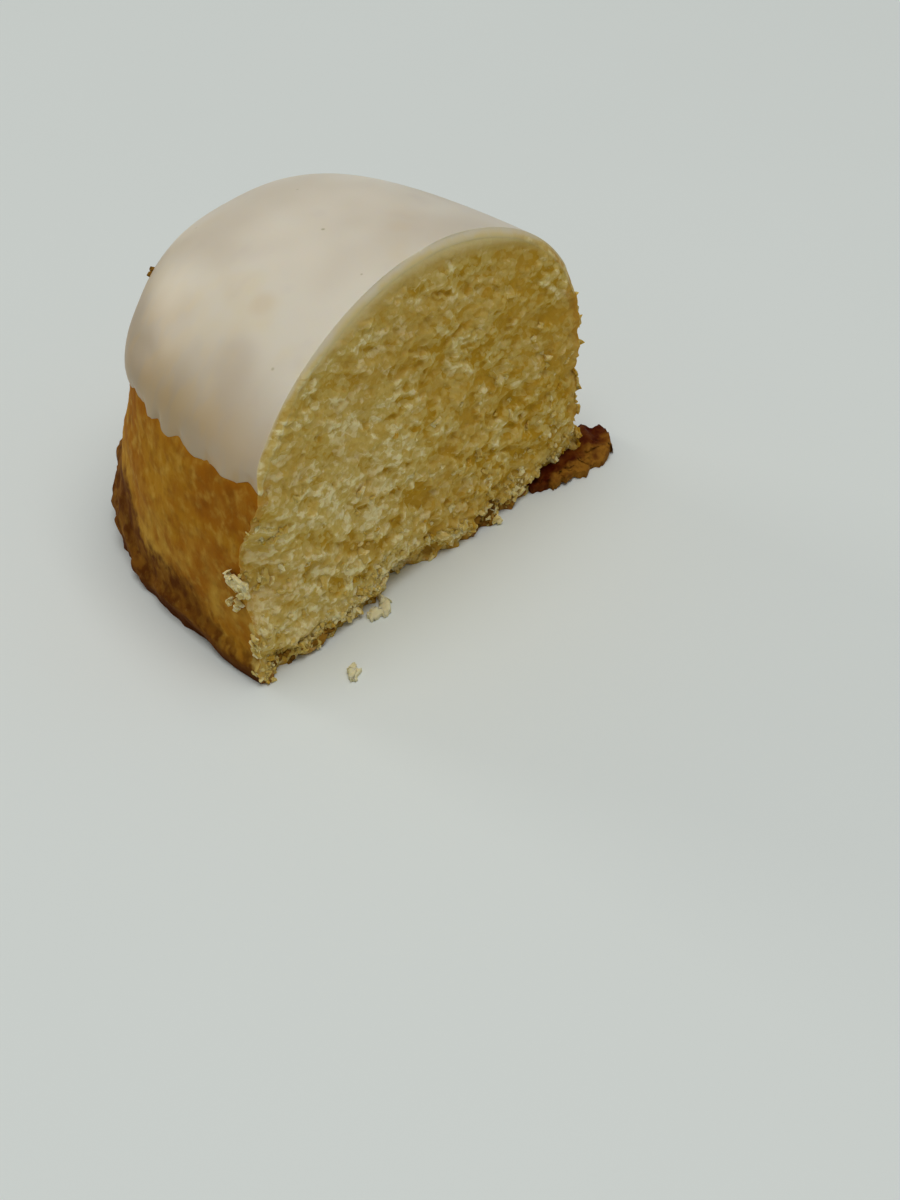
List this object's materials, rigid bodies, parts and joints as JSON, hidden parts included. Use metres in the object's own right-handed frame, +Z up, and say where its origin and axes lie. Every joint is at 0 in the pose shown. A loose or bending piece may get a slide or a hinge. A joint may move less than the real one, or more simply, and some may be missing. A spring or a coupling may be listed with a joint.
{
  "type": "lemon cake half",
  "caption": "Half of a small domed lemon cake, cut straight across: yellow crumb, browned wall with a ragged lip at its foot, and pale icing over the dome.",
  "frame": {"origin": "middle of the flat base that the cake stands on", "axes": "+Z up; +X along the foot of the cut face, which looks along -Y; +Y towards the rounded end"},
  "size_m": [0.0594, 0.0437, 0.04],
  "materials": {
    "sponge": "porous yellow crumb where cut, soft browned crust outside, dark brown lip at the foot",
    "icing": "smooth set icing, cream white with faint yellow and grey clouds, low gloss"
  },
  "bodies": {
    "root": {"sponge": "sponge", "icing": "icing"}
  },
  "joints": []
}
